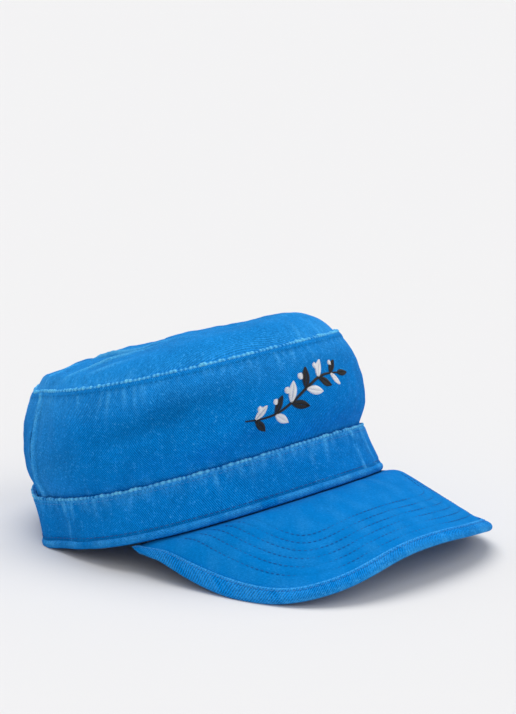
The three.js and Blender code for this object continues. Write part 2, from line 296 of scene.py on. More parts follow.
def placed(points):
    return (stood(points) + SHIFT) * MM


# Smooth variation is a sum of waves, whose lengths are shares of its size
RIPPLE_WAVES = 9
RIPPLE_LENGTHS = (0.7, 1.7)

# How much a pleat's place, strength and width vary, and how a row of lumps loses its beat
PLEAT_SPACING = (0.6, 1.4)
PLEAT_STRENGTH = (0.15, 1)
PLEAT_WIDTH = (0.6, 1.3)
BEAD_WAVER = dict(pitches=6, turn=1.1)


def ripple(u, v, size, seed):
    """Smooth variation of about unit strength over a surface, with features about size across."""
    rng = np.random.default_rng(seed)
    total = 0
    for _ in range(RIPPLE_WAVES):
        heading = rng.uniform(0, FULL_TURN)
        length = size * rng.uniform(*RIPPLE_LENGTHS)
        phase = rng.uniform(0, FULL_TURN)
        way = u * math.cos(heading) + v * math.sin(heading)
        total = total + np.sin(FULL_TURN * way / length + phase)
    return total / math.sqrt(RIPPLE_WAVES / 2)


def uneven(u, v, rows):
    return sum(height * ripple(u, v, size, seed) for size, height, seed in rows)


def wavers(along, slow, quick, seed):
    """Slow and quick variation along a line."""
    return ripple(along, 0 * along, slow, seed), ripple(along, 0 * along, quick, seed + 1)


def pleats(along, down, seam):
    """Short uneven pleats that hang from a seam: how far they stand out, and their wear."""
    style = dict(zip(PLEAT_COLUMNS, PLEATS[seam]))
    rng = np.random.default_rng(style["seed"])
    total = np.zeros(np.broadcast(along, down).shape)
    place = PLEATS_FROM
    while place < PLEATS_TO:
        place += style["pitch"] * rng.uniform(*PLEAT_SPACING)
        strength = rng.uniform(*PLEAT_STRENGTH)
        length = lerp(style["shortest"], style["longest"], rng.uniform(0, 1) ** 2)
        width = style["half_width"] * rng.uniform(*PLEAT_WIDTH)
        slant = style["slant"] * rng.uniform(-1, 1)
        total += strength * bell(along - place - slant * down, width) * bell(down, length)
    return style["depth"] * total, style["wear"] * total


def beads(along, pitch, seed):
    """Uneven lumps along a line, from 0 to 1."""
    waver = BEAD_WAVER["turn"] * ripple(along, 0 * along, BEAD_WAVER["pitches"] * pitch, seed)
    return 0.5 + 0.5 * np.sin(FULL_TURN * along / pitch + waver)


def turned_from(angle, degrees):
    """The turn to an angle from a direction in degrees, within half a turn either way."""
    turn = angle - math.radians(degrees)
    return np.arctan2(np.sin(turn), np.cos(turn))


def groove(along, across, fold):
    return fold["depth"] * bell(along, fold["half_length"]) * bell(across, fold["half_width"])


def wall_fold(angle, share):
    total = 0
    for row in WALL_FOLDS:
        fold = dict(zip(FOLD_COLUMNS, row))
        right = turned_from(angle, fold["angle"]) * WALL_RADIUS
        up = (share - fold["height"]) * WALL_SPAN
        lean = math.radians(fold["lean"])
        along = right * math.cos(lean) + up * math.sin(lean)
        across = up * math.cos(lean) - right * math.sin(lean)
        total = total + groove(along, across, fold)
    return total


def top_folds(rows, x, y):
    total = 0
    for row in rows:
        fold = dict(zip(TOP_FOLD_COLUMNS, row))
        heading = math.radians(fold["heading"])
        dx, dy = x - fold["x"], y - fold["y"]
        along = dx * math.cos(heading) + dy * math.sin(heading)
        across = dy * math.cos(heading) - dx * math.sin(heading)
        total = total + groove(along, across, fold)
    return total


SHARP_ANGLE = 55


def make_piece(name, vertices, faces, marks, material, replaces=()):
    """A mesh piece that rides on the body. marks are numbers or vectors held at its vertices."""
    mesh = bpy.data.meshes.new(name)
    mesh.from_pydata(vertices.tolist(), [], faces if isinstance(faces, list) else faces.tolist())
    for key, values in marks.items():
        kind, field = ("FLOAT_VECTOR", "vector") if values.ndim == 2 else ("FLOAT", "value")
        held = mesh.attributes.new(key, kind, "POINT").data
        held.foreach_set(field, values.astype(np.float32).ravel())
    mesh.materials.append(material)
    mesh.polygons.foreach_set("use_smooth", [True] * len(mesh.polygons))
    mesh.set_sharp_from_angle(angle=math.radians(SHARP_ANGLE))
    piece = bpy.data.objects.new(name, mesh)
    bpy.context.collection.objects.link(piece)
    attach(piece, "root")
    if replaces:
        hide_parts(*replaces)
    return piece


def facing_out(vertices, faces):
    """The faces, turned round if they enclose a negative volume."""
    a, b, c, d = (vertices[faces[:, i]] for i in range(4))
    volume = np.einsum("ij,ij->i", a, np.cross(b, c)).sum()
    volume += np.einsum("ij,ij->i", a, np.cross(c, d)).sum()
    return faces if volume > 0 else faces[:, ::-1]


def loop_faces(count, size):
    """Quads between count closed loops of size points, and over the first and last loop."""
    i = np.arange(count - 1)[:, None] * size
    k = np.arange(size)[None]
    after = (k + 1) % size
    sides = np.stack([i + k, i + size + k, i + size + after, i + after], -1).reshape(-1, 4)
    k = np.arange(size // 2 - 1)
    across = size - 1 - k
    last = (count - 1) * size
    first_end = np.stack([k, k + 1, across - 1, across], -1)
    last_end = np.stack([across, across - 1, k + 1, k], -1) + last
    return np.concatenate([sides, first_end, last_end])


def loops_piece(name, loops, marks, material, replaces=()):
    """A closed body from loops that each run round the section."""
    count, size = loops.shape[:2]
    vertices = placed(loops).reshape(-1, 3)
    faces = facing_out(vertices, loop_faces(count, size))
    flat = {key: held.reshape(-1, 3) if held.ndim == 3 else held.ravel() for key, held in marks.items()}
    return make_piece(name, vertices, faces, flat, material, replaces)


def both_sides(outer, inner):
    """Values along an outer face, then back along the inner one."""
    return np.concatenate([outer, inner[:, ::-1]], 1)


def cloth_place(u, v):
    """Where a point lies on the flat cloth, in millimetres, for the weave."""
    return np.stack([u, v, 0 * u], -1)


def shell_piece(name, outer, inner, wear, dark, cloth, material, replaces):
    """A closed wall of cloth from its two faces, which have the same marks."""
    # dark is painted shade: darkening in dents, seams, folds and under edges, where shade falls
    marks = {"wear": np.clip(wear, 0, 1), "painted_shade": np.clip(dark, 0, 1), "cloth": cloth}
    marks = {key: both_sides(held, held) for key, held in marks.items()}
    return loops_piece(name, both_sides(outer, inner), marks, material, replaces)


# A thread's thickness at its ends, as a share of its middle's
THREAD_END = 0.6


def arched_threads(paths, ways, rise, radius):
    """Threads that dip into the cloth at both ends. ways are the cloth's normals along them."""
    share = np.linspace(0, 1, paths.shape[1])
    arch = np.sin(math.pi * share)
    lifted = paths + ways * (rise * arch)[None, :, None]
    radii = radius * lerp(THREAD_END, 1, arch)
    return lifted, ways, np.tile(radii, (len(paths), 1))


def threads_piece(name, groups, material):
    """Many short round threads as one piece, from groups of paths, normals and radii."""
    paths, ways, radii = (np.concatenate(parts) for parts in zip(*groups))
    tangent = unit(np.gradient(paths, axis=1))
    side = unit(np.cross(tangent, ways))
    up = np.cross(side, tangent)
    turn = FULL_TURN * np.arange(THREAD_SIDES) / THREAD_SIDES
    ring = side[:, :, None] * np.cos(turn)[:, None] + up[:, :, None] * np.sin(turn)[:, None]
    loops = paths[:, :, None] + ring * radii[..., None, None]
    count, length = paths.shape[:2]
    vertices = placed(loops).reshape(-1, 3)
    one = loop_faces(length, THREAD_SIDES)
    faces = (one[None] + (np.arange(count) * length * THREAD_SIDES)[:, None, None]).reshape(-1, 4)
    steps = np.linalg.norm(np.diff(paths, axis=1, prepend=paths[:, :1]), axis=2)
    along = np.repeat(np.cumsum(steps, 1)[..., None], THREAD_SIDES, 2)
    around = np.broadcast_to(turn * radii[..., None], along.shape)
    marks = {"cloth": cloth_place(along + np.arange(count)[:, None, None], around).reshape(-1, 3)}
    return make_piece(name, vertices, facing_out(vertices, faces), marks, material)


def dashes(line, normals, style):
    """Stitches along a line: short threads of a length, one at every pitch."""
    length, pitch = style["length"], style["pitch"]
    step = np.linalg.norm(np.diff(line, axis=0), axis=1)
    along = np.concatenate([[0], np.cumsum(step)])
    starts = np.arange(pitch / 2, along[-1] - length, pitch)
    at = starts[:, None] + length * np.linspace(0, 1, THREAD_POINTS)
    paths = np.stack([np.interp(at, along, line[:, i]) for i in range(3)], -1)
    ways = unit(np.stack([np.interp(at, along, normals[:, i]) for i in range(3)], -1))
    return arched_threads(paths, ways, style["rise"], style["radius"])


# Colours of the cloth and threads, as linear light, and how rough each thread is
PALE_BLUE = (0.17, 0.63, 0.93, 1)
TWILL_TONES = dict(deep=(0.0004, 0.115, 0.38, 1), mid=(0.001, 0.265, 0.8, 1), pale=PALE_BLUE)
TOP_TONES = dict(deep=(0.002, 0.15, 0.45, 1), mid=(0.008, 0.29, 0.8, 1), pale=PALE_BLUE)
PEAK_TONES = dict(deep=(0.0004, 0.16, 0.48, 1), mid=(0.001, 0.23, 0.68, 1), pale=PALE_BLUE)
THREADS = {
    "stitching": ((0.001, 0.1, 0.37, 1), (0.004, 0.09, 0.33, 1), 0.7),
    "sewing": ((0.02, 0.24, 0.66, 1), (0.05, 0.3, 0.72, 1), 0.7),
    "black embroidery": ((0.012, 0.012, 0.015, 1), (0.035, 0.033, 0.032, 1), 0.45),
    "white embroidery": ((0.78, 0.79, 0.82, 1), (0.88, 0.89, 0.92, 1), 0.5),
}
FLOOR_WHITE = (0.742, 0.739, 0.742, 1)

# The part of a noise texture's range that it mostly keeps to
NOISE_RANGE = (0.3, 0.7)


class Shader:
    """A material's nodes, with short calls for making and joining them."""

    def __init__(self, name):
        self.material = bpy.data.materials.new(name)
        self.material.use_nodes = True
        self.tree = self.material.node_tree
        self.surface = self.tree.nodes["Principled BSDF"]

    def node(self, kind, inputs=(), **settings):
        made = self.tree.nodes.new(kind)
        for key, value in settings.items():
            setattr(made, key, value)
        for key, value in dict(inputs).items():
            self.put(made.inputs[key], value)
        return made

    def put(self, socket, value):
        if isinstance(value, bpy.types.NodeSocket):
            self.tree.links.new(value, socket)
        else:
            socket.default_value = value

    def set(self, **values):
        """Sets the surface's own sockets; a name's underscores stand for spaces."""
        for key, value in values.items():
            self.surface.inputs[key.replace("_", " ")].default_value = value

    def mark(self, name, output="Fac"):
        return self.node("ShaderNodeAttribute", attribute_name=name).outputs[output]

    def turned(self, vector, degrees, stretch=(1, 1, 1)):
        inputs = {"Vector": vector, "Rotation": (0, 0, math.radians(degrees)), "Scale": stretch}
        return self.node("ShaderNodeMapping", inputs).outputs[0]

    def sum(self, a, b):
        return self.node("ShaderNodeMath", {0: a, 1: b}, operation="ADD").outputs[0]

    def times(self, a, b, clamp=False):
        return self.node("ShaderNodeMath", {0: a, 1: b}, operation="MULTIPLY", use_clamp=clamp).outputs[0]

    def ramp(self, value, low, high, to_low=0.0, to_high=1.0):
        ends = {"Value": value, "From Min": low, "From Max": high, "To Min": to_low, "To Max": to_high}
        return self.node("ShaderNodeMapRange", ends).outputs["Result"]

    def noise(self, vector, scale, detail):
        """Noise over its whole useful range, from 0 to 1."""
        made = self.node("ShaderNodeTexNoise", {"Vector": vector, "Scale": scale, "Detail": detail})
        return self.ramp(made.outputs["Fac"], *NOISE_RANGE)

    def bump(self, height, strength, distance):
        inputs = {"Height": height, "Strength": strength, "Distance": distance * MM}
        self.put(self.surface.inputs["Normal"], self.node("ShaderNodeBump", inputs).outputs[0])

    def blend(self, shares):
        """The weighted sum of (value, weight) pairs."""
        total = 0.0
        for value, weight in shares:
            total = self.sum(total, self.times(value, weight))
        return total

    def mix(self, share, a, b, blend="MIX"):
        made = self.node("ShaderNodeMix", data_type="RGBA", blend_type=blend)
        factor, first, second = made.inputs[0], made.inputs[6], made.inputs[7]
        for socket, value in ((factor, share), (first, a), (second, b)):
            self.put(socket, value)
        return made.outputs[2]


# A wave texture's bands are this far apart, in units of its scale
WAVE_BAND = FULL_TURN / 20
WAVE_DETAIL = {"Detail": 2.0, "Detail Scale": 0.6}

# The weaves: pitch in millimetres, turn in degrees, and how much of each effect they have
WEAVE_COLUMNS = ("pitch", "turn", "waver", "contrast", "relief", "fleck", "spread", "sheen")
WEAVES = {
    "crown twill": (0.85, -35, 1.4, 0.55, 1.0, 0.3, 0.22, 0.06),
    "top twill": (0.85, -60, 1.6, 0.26, 0.7, 0.22, 0.24, 0.14),
    "bias twill": (0.85, -50, 1.4, 0.5, 1.0, 0.25, 0.24, 0.06),
    "peak cloth": (0.6, -35, 1.6, 0.12, 0.5, 0.06, 0.34, 0.05),
}

# Noises in the cloth: scale and detail, and shares in its tone and its relief. A slub is a thick
# place in a thread, drawn out along the weave.
NOISES = {
    "fibre": (2.0, 4.0, 0.3, 0.45),
    "slub": (1.3, 3.0, 0.3, 0.3),
    "mottle": (0.28, 4.0, 0.12, 0),
    "wash": (0.09, 5.0, 0.12, 0),
    "blotch": (0.03, 4.0, 0.16, 0),
}
SLUB_STRETCH = (1, 0.5, 1)

# Wear is ragged: as noise goes from low to high it is scaled from least to most. Flecks show
# where slub, fibre and mottle are all strong.
RAGGED = dict(low=0.2, high=0.75, least=0.35, most=1.4)
WEAR_IN_TONE = 0.9
FLECKS = dict(mottle_gain=0.45, low=0.42, high=0.85)
# The painted shade darkens the cloth at most to this share of its colour
PAINTED_SHADE_DARKEST = 0.36
CLOTH_BUMP = dict(strength=0.45, distance=0.35)
CLOTH_SURFACE = dict(Roughness=0.95, Specular_IOR_Level=0.03, Sheen_Roughness=0.4)
SHEEN_BLUE = (0.3, 0.66, 1, 1)

# Thread: the slant of its plies in degrees, their pitch in millimetres, and their share in tone
PLIES = dict(turn=35, pitch=0.35, waver=0.6, share=0.6)
THREAD_NOISE = dict(scale=0.6, detail=3.0)
THREAD_BUMP = dict(strength=0.5, distance=0.1)
THREAD_SPECULAR = 0.3


def cloth_material(name, tones):
    """Washed cotton: a slanting weave, wash marks, pale flecks and wear, and painted shade in its ditches and
    folds.
    """
    s = Shader(name)
    weave = dict(zip(WEAVE_COLUMNS, WEAVES[name]))
    place = s.mark("cloth", "Vector")
    turned = s.turned(place, weave["turn"])
    streak = s.turned(turned, 0, SLUB_STRETCH)
    lines = {"Vector": turned, "Scale": WAVE_BAND / weave["pitch"], "Distortion": weave["waver"]}
    wave = s.node("ShaderNodeTexWave", {**lines, **WAVE_DETAIL}).outputs["Fac"]
    noise = {}
    in_tone = [(wave, weave["contrast"])]
    in_relief = [(wave, weave["relief"])]
    for key, (scale, detail, tone_share, relief_share) in NOISES.items():
        noise[key] = s.noise(streak if key == "slub" else place, scale, detail)
        in_tone.append((noise[key], tone_share))
        if relief_share:
            in_relief.append((noise[key], relief_share))
    slub, fibre = noise["slub"], noise["fibre"]
    rough = s.times(s.sum(slub, fibre), 0.5)
    ragged = s.ramp(rough, RAGGED["low"], RAGGED["high"], RAGGED["least"], RAGGED["most"])
    worn = s.times(s.mark("wear"), ragged, clamp=True)
    washed = s.sum(s.blend(in_tone), s.times(worn, WEAR_IN_TONE))
    middle = sum(share for _, share in in_tone) / 2
    toned = s.ramp(washed, middle - weave["spread"], middle + weave["spread"])
    colour = s.mix(toned, tones["deep"], tones["mid"])
    thick = s.times(s.times(slub, fibre), s.sum(noise["mottle"], FLECKS["mottle_gain"]))
    fleck = s.ramp(thick, FLECKS["low"], FLECKS["high"], 0.0, weave["fleck"])
    colour = s.mix(s.sum(worn, fleck), colour, tones["pale"])
    # Painted shade: the cloth is darkened by the shade mark held at its vertices
    dark = s.ramp(s.mark("painted_shade"), 0, 1, 1, PAINTED_SHADE_DARKEST)
    shade = s.node("ShaderNodeCombineColor", {"Red": dark, "Green": dark, "Blue": dark}).outputs[0]
    s.put(s.surface.inputs["Base Color"], s.mix(1.0, colour, shade, "MULTIPLY"))
    s.bump(s.blend(in_relief), **CLOTH_BUMP)
    s.set(**CLOTH_SURFACE, Sheen_Weight=weave["sheen"], Sheen_Tint=SHEEN_BLUE)
    return s.material


def thread_material(name, colour, pale, roughness):
    """Twisted thread: slanting plies, a little uneven in tone."""
    s = Shader(name)
    place = s.mark("cloth", "Vector")
    lines = {"Vector": s.turned(place, PLIES["turn"]), "Scale": WAVE_BAND / PLIES["pitch"]}
    wave = s.node("ShaderNodeTexWave", {**lines, "Distortion": PLIES["waver"]}).outputs["Fac"]
    tone = s.blend([(wave, PLIES["share"]), (s.noise(place, **THREAD_NOISE), 1 - PLIES["share"])])
    s.put(s.surface.inputs["Base Color"], s.mix(tone, colour, pale))
    s.bump(wave, **THREAD_BUMP)
    s.set(Roughness=roughness, Specular_IOR_Level=THREAD_SPECULAR)
    return s.material


twill = cloth_material("crown twill", TWILL_TONES)
top_twill = cloth_material("top twill", TOP_TONES)
bias_twill = cloth_material("bias twill", TWILL_TONES)
peak_cloth = cloth_material("peak cloth", PEAK_TONES)
threads = {name: thread_material(f"{name} thread", *row) for name, row in THREADS.items()}

# Marks on the crown's wall, by millimetres from its seams: where its pleats start and fade in,
# the dents under the welt, its wear, the paler cloth past an angle on its left side, and the
# painted shade in the dents, at the wall's foot and in its folds
WALL_PLEATS = dict(start=2, relief_over=2.5, wear_from=1.5, wear_over=2, foot_wear_over=1.5)
WALL_DITCH = dict(down=2.2, half_width=0.6, depth=0.3, dark=0.4, pitch=3.1, seed=5)
UPPER_WEAR = dict(strength=0.05, middle=7, spread=8)
# The wall is made paler past an angle from the front towards its left side, in degrees
LEFT_PALER = dict(wear=0.09, angle=-80, over=40)
FOOT_SHADE = dict(strength=0.22, spread=1.2)
WALL_FOLD_SHADE = 0.13

# The side seams, by millimetres from their edges: a soft ridge, with worn cloth on it and a line
# of painted shade, which lies beside the ridge on the front panel, the one that laps over, and at
# the very edge of the back one
SEAM_RIDGE = dict(width=6, edge=0.8, at_edge=0.2)
SEAM_WEAR = dict(off=2.2, spread=1.6, even=0.7, ragged=0.3, size=7, seed=15)
LAPS = {
    "front": dict(rise=0.75, wear=0.3, dark=dict(strength=0.25, middle=6.4, spread=1)),
    "back": dict(rise=-0.25, wear=0.1, dark=dict(strength=0.6, spread=1.2)),
}


def behind(angle):
    """0 on the front and sides, rising to 1 on the back, where the seam lies flatter and lower."""
    return smooth((FLAT_BACK["starts"] - np.cos(angle)) / FLAT_BACK["length"])


def band_ring(angle):
    return ring_point(BAND_SEAM, angle)


def top_ring(angle):
    ring = ring_point(TOP_SEAM, angle)
    ring[..., 2] -= FLAT_BACK["dip"] * behind(angle)
    return ring


def wall_outer(angle, share):
    """The outer surface of the crown's wall, with its pleats, its wear and paler left side, and painted
    shade.
    """
    point = lerp(ring_point(BAND_SEAM, angle), top_ring(angle), share[..., None])
    forward = np.cos(angle)
    back = behind(angle)
    down = (1 - share) * WALL_SPAN
    up = share * WALL_SPAN
    along = angle * WALL_RADIUS
    ends = np.where(forward > 0, SWELL["front"], SWELL["back"])
    raised = share ** (1 + FLAT_BACK["high_swell"] * back)
    swell = lerp(ends, SWELL["side"], np.sin(angle) ** 2) * hump(raised)
    tuck = stripe(share, **TUCK)
    welt = WELT["proud"] * np.cos(math.pi / 2 * np.minimum(down / WELT["height"], 1))
    welt = welt * (1 - FLAT_BACK["welt_loss"] * back)
    shoulder = stripe(share, **SHOULDER) * np.maximum(forward, 0)
    fade = smooth(WALL_FOLD_FADE * share) * smooth(WALL_FOLD_FADE * (1 - share))
    fold = fade * wall_fold(angle, share)
    soft = fade * uneven(along, up, RISES["wall"])
    style = WALL_PLEATS
    hanging, hanging_wear = pleats(along, np.maximum(down - style["start"], 0), "under top seam")
    standing, standing_wear = pleats(along, up, "over band seam")
    dents = bell(down - WALL_DITCH["down"], WALL_DITCH["half_width"])
    dents = dents * beads(along, WALL_DITCH["pitch"], WALL_DITCH["seed"])
    relief = hanging * smooth(down / style["relief_over"]) + standing + soft
    relief = relief + shoulder - WALL_DITCH["depth"] * dents
    out = swell - tuck + welt - fold + relief
    wear = hanging_wear * smooth((down - style["wear_from"]) / style["wear_over"])
    wear = wear + standing_wear * smooth(up / style["foot_wear_over"])
    wear = wear + stripe(down, **UPPER_WEAR)
    wear = wear + LEFT_PALER["wear"] * smooth((LEFT_PALER["angle"] - np.degrees(angle)) / LEFT_PALER["over"])
    # Painted shade in the dents under the welt, at the wall's foot over the band, and in its folds
    dark = WALL_DITCH["dark"] * dents + stripe(up, **FOOT_SHADE)
    dark = dark + WALL_FOLD_SHADE * np.clip(fold, 0, DEEPEST_SHADE)
    return point + outward(angle) * out[..., None], wear, dark


def wall_panel(side, first, last):
    """One panel of the crown's wall, between two side seams."""
    foot = GAP / WALL_SPAN
    welt_foot = 1 - WELT["height"] / WALL_SPAN
    welt_shares = np.linspace(welt_foot, 1, WELT_ROWS + 1)[1:]
    shares = np.concatenate([np.linspace(foot, welt_foot, WALL_ROWS), welt_shares])
    steps = round(AROUND * (last - first) / FULL_TURN)
    angle, share = np.meshgrid(np.linspace(first, last, steps), shares, indexing="ij")
    outer, wear, dark = wall_outer(angle, share)
    along, up = angle * WALL_RADIUS, share * WALL_SPAN
    off = np.minimum(np.abs(angle - first), np.abs(last - angle)) * WALL_RADIUS
    lap = LAPS[side]
    ridge = smooth(1 - off / SEAM_RIDGE["width"]) * smooth(off / SEAM_RIDGE["edge"] + SEAM_RIDGE["at_edge"])
    outer = outer + outward(angle) * (lap["rise"] * ridge)[..., None]
    ragged = SEAM_WEAR["even"] + SEAM_WEAR["ragged"] * ripple(up, along, SEAM_WEAR["size"], SEAM_WEAR["seed"])
    wear = wear + lap["wear"] * bell(off - SEAM_WEAR["off"], SEAM_WEAR["spread"]) * ragged
    # Painted shade along the seam
    dark = dark + stripe(off, **lap["dark"])
    inner = outer - outward(angle) * CLOTH
    cloth = cloth_place(along, up)
    name = f"wall_{side}"
    return shell_piece(f"{name}_cloth", outer, inner, wear, dark, cloth, twill, [name])


def top_surface(angle, reach):
    """The plan place and the height of the top before its folds."""
    ring = TOP_SEAM
    rim = top_ring(angle) + outward(angle) * (WELT["proud"] - CLOTH - GAP)
    x = rim[..., 0] * reach
    y = lerp(ring["centre"], rim[..., 1], reach)
    edge = (rim[..., 2] - ring["height"]) * reach**2
    forward = (ring["centre"] - y) / ring["depth"]
    height = DOME["height"] + forward * np.where(forward > 0, DOME["front_gain"], DOME["back_loss"])
    return x, y, ring["height"] + edge + height * (1 - reach ** DOME["power"])


def disc_faces(rings, around):
    """Faces of a disc of rings about its middle point, of its underside, and of its edge."""
    size = 1 + rings * around
    ring = np.arange(rings - 1)[:, None] * around + 1
    k = np.arange(around)
    after = (k + 1) % around
    quads = np.stack([ring + k, ring + around + k, ring + around + after, ring + after], -1).reshape(-1, 4)
    rim = 1 + (rings - 1) * around
    edge = np.stack([rim + k, size + rim + k, size + rim + after, rim + after], -1)
    fan = [[0, 1 + int(a), 1 + int(b)] for a, b in zip(k, after)]
    under_fan = [[size + c for c in reversed(corners)] for corners in fan]
    return quads.tolist() + (quads[:, ::-1] + size).tolist() + edge.tolist() + fan + under_fan


# Wear and shade on the top: near its rim, along its creases and in its folds
RIM_WEAR = dict(strength=0.05, spread=6)
CREASE_WEAR = 0.27
TOP_FOLD_SHADE = 0.2


def crown_top():
    """The soft top panel, a shallow dome with folds, creases and pleats round its rim."""
    reaches = np.sin(math.pi / 2 * np.arange(1, TOP_RINGS + 1) / TOP_RINGS)
    turn = FULL_TURN * np.arange(TOP_AROUND) / TOP_AROUND
    reach, angle = np.meshgrid(reaches, turn, indexing="ij")
    x, y, z = top_surface(angle, reach)
    fade = smooth(TOP_FOLD_FADE * (1 - reach))
    near_rim = smooth(RIM_FADE * (1 - reach))
    inside = (1 - reach) * TOP_SEAM["half_width"]
    drawn, drawn_wear = pleats(angle * TOP_SEAM["half_width"], inside, "over top seam")
    folds = fade * top_folds(TOP_FOLDS, x, y)
    creases = top_folds(CREASES, x, y)
    turned = np.degrees(turned_from(angle, PUFF["angle"]))
    puff = PUFF["height"] * bell(inside - PUFF["inside"], PUFF["spread"]) * bell(turned, PUFF["turn"])
    z = z + fade * uneven(x, y, RISES["top"]) - folds + near_rim * (puff + creases + drawn)
    wear = drawn_wear + stripe(inside, **RIM_WEAR) + CREASE_WEAR * near_rim * creases
    # Painted shade in the folds of the top
    dark = TOP_FOLD_SHADE * np.clip(folds, 0, DEEPEST_SHADE)
    centre = TOP_SEAM["centre"]
    middle = [[0, centre, TOP_SEAM["height"] + DOME["height"] - top_folds(TOP_FOLDS, 0, centre)]]
    layer = np.concatenate([middle, np.stack([x, y, z], -1).reshape(-1, 3)])
    vertices = placed(np.concatenate([layer, layer - [0, 0, CLOTH]]))
    marks = {
        "wear": np.tile(np.concatenate([[0], np.clip(wear, 0, 1).ravel()]), 2),
        "painted_shade": np.tile(np.concatenate([[0], dark.ravel()]), 2),
        "cloth": np.tile(layer * [1, 1, 0], (2, 1)),
    }
    faces = disc_faces(TOP_RINGS, TOP_AROUND)
    return make_piece("crown_top_cloth", vertices, faces, marks, top_twill, ["crown_top"])


# The worn folds of cloth along the crown's two seams: how far out of and above its ring a fold's
# middle lies, its radius, how much that varies, and the pitch of its lumps
ROPE_COLUMNS = ("out", "up", "radius", "lumpiness", "wander", "pitch", "back_loss", "seed")
TOP_ROPE = dict(zip(ROPE_COLUMNS, (0.15, 0.2, 1.1, 0.28, 0.13, 2.7, 1.3, 71)))
BAND_ROPE = dict(zip(ROPE_COLUMNS, (-0.4, 0.05, 0.85, 0.3, 0.12, 3.0, 0, 81)))
ROPE_LUMP_MIDDLE = 0.6
ROPE_VARIES = dict(slow=25, quick=6, share=0.08)
ROPE_WEAR = dict(least=0.3, lumps=0.45, slow=0.12, quick=0.14)
ROPE_SHADE = 0.25


def rope(name, ring, style):
    """A worn, lumpy fold of cloth along a seam."""
    angle = np.linspace(-math.pi, math.pi, ROPE_AROUND)
    along = angle * WALL_RADIUS
    lumps = beads(along, style["pitch"], style["seed"])
    slow, quick = wavers(along, ROPE_VARIES["slow"], ROPE_VARIES["quick"], style["seed"] + 1)
    varies = ROPE_VARIES["share"]
    turn = FULL_TURN * np.arange(ROPE_SIDES) / ROPE_SIDES
    size = style["radius"] * (1 + style["lumpiness"] * (lumps - ROPE_LUMP_MIDDLE) + varies * quick)
    out = style["out"] + varies * slow - style["back_loss"] * behind(angle)
    middle = ring(angle) + outward(angle) * out[:, None]
    middle[:, 2] += style["up"] + style["wander"] * quick
    points = middle[:, None] + outward(angle)[:, None] * (size[:, None] * np.cos(turn))[..., None]
    points[..., 2] += size[:, None] * np.sin(turn)
    wear = ROPE_WEAR["least"] + ROPE_WEAR["lumps"] * lumps
    wear = np.clip(wear + ROPE_WEAR["slow"] * slow + ROPE_WEAR["quick"] * quick, 0, 1)
    # Painted shade between the lumps
    dark = ROPE_SHADE * (1 - lumps) ** 2
    wear, dark, u = (np.repeat(held[:, None], ROPE_SIDES, 1) for held in (wear, dark, along))
    marks = {"wear": wear, "painted_shade": dark, "cloth": cloth_place(u, size[:, None] * turn)}
    return loops_piece(name, points, marks, twill)


# The band, by millimetres below its upper edge: how that edge is rounded, how its pleats and
# streaks fade in, its wear and its shade. The dent is over the rolled edge, at its stitches.
BAND_EDGE = dict(rounding=0.7, radius=1.2, pleats_over=1.5, streak_rise=0.35, streaks_over=4)
BAND_DENT = dict(strength=0.35, middle=1.6, spread=0.9)
BAND_WEAR = dict(edge=0.4, spread=1.1, even=0.4, pleats_over=2, streaks=0.55)
BAND_HAZE = dict(strength=0.07, middle=3, spread=3.5)
HAZE_RAGGED = dict(even=0.6, ragged=0.4, size=8, seed=35)
BAND_SHADE = dict(strength=0.3, middle=2.1, spread=0.7)
ROLL_SHADE = dict(strength=0.5, spread=1.3)
BAND_SOFT_FADE = 4
BAND_BEAD_SEED = 32
BAND_CLOTH_START = 40
BAND_FOOT = ROLL_EDGE["height"] - ROLL_EDGE["lap"]


def band():
    """The doubled headband, whose upper edge stands a little proud of the crown."""
    span = BAND_SEAM["height"]
    foot = BAND_FOOT / span
    shares = np.linspace(foot, 1, BAND_ROWS)
    angle, share = np.meshgrid(np.linspace(-math.pi, math.pi, AROUND), shares, indexing="ij")
    middle = lerp(ring_point(HEM, angle), ring_point(BAND_SEAM, angle), share[..., None])
    along = angle * WALL_RADIUS
    down = (1 - share) * span
    over_roll = (share - foot) * span
    drawn, drawn_wear = pleats(along, down, "under band seam")
    lumps = beads(along, BAND_ROPE["pitch"], BAND_BEAD_SEED)
    places = [(math.radians(at) * WALL_RADIUS, width, power) for at, width, power in BAND_STREAKS]
    streaks = sum(power * bell(along - at, width) for at, width, power in places)
    soft = uneven(along, share * span, RISES["band"])
    soft = soft * smooth(BAND_SOFT_FADE * share) * smooth(BAND_SOFT_FADE * (1 - share))
    out = drawn * smooth(down / BAND_EDGE["pleats_over"]) + soft
    out = out - BAND_EDGE["rounding"] * np.clip(1 - down / BAND_EDGE["radius"], 0, 1) ** 2
    out = out + BAND_EDGE["streak_rise"] * streaks * smooth(down / BAND_EDGE["streaks_over"])
    out = out - stripe(over_roll, **BAND_DENT)
    outer = middle + outward(angle) * out[..., None]
    inner = middle - outward(angle) * BAND_CLOTH
    haze = HAZE_RAGGED
    ragged = np.clip(haze["even"] + haze["ragged"] * ripple(along, down, haze["size"], haze["seed"]), 0, 1)
    wear = BAND_WEAR["edge"] * bell(down, BAND_WEAR["spread"]) * lerp(BAND_WEAR["even"], 1, lumps)
    wear = wear + drawn_wear * smooth(down / BAND_WEAR["pleats_over"])
    wear = wear + BAND_WEAR["streaks"] * streaks * ragged
    wear = wear + stripe(down, **BAND_HAZE) * ragged
    # Painted shade under the upper edge between its lumps, and over the rolled edge
    dark = stripe(down, **BAND_SHADE) * (1 - lumps) + stripe(over_roll, **ROLL_SHADE)
    cloth = cloth_place(along + BAND_CLOTH_START, share * span)
    return shell_piece("headband", outer, inner, wear, dark, cloth, twill, ["band"])


# The rolled edge: how its roll wavers, and the wear on its upper side
ROLL_WAVER = dict(slow=18, quick=5, seed=41)
ROLL_OUT = dict(slow=0.12, quick=0.05)
ROLL_WEAR = dict(even=0.1, slow=0.05, quick=0.04, turn=0.5)


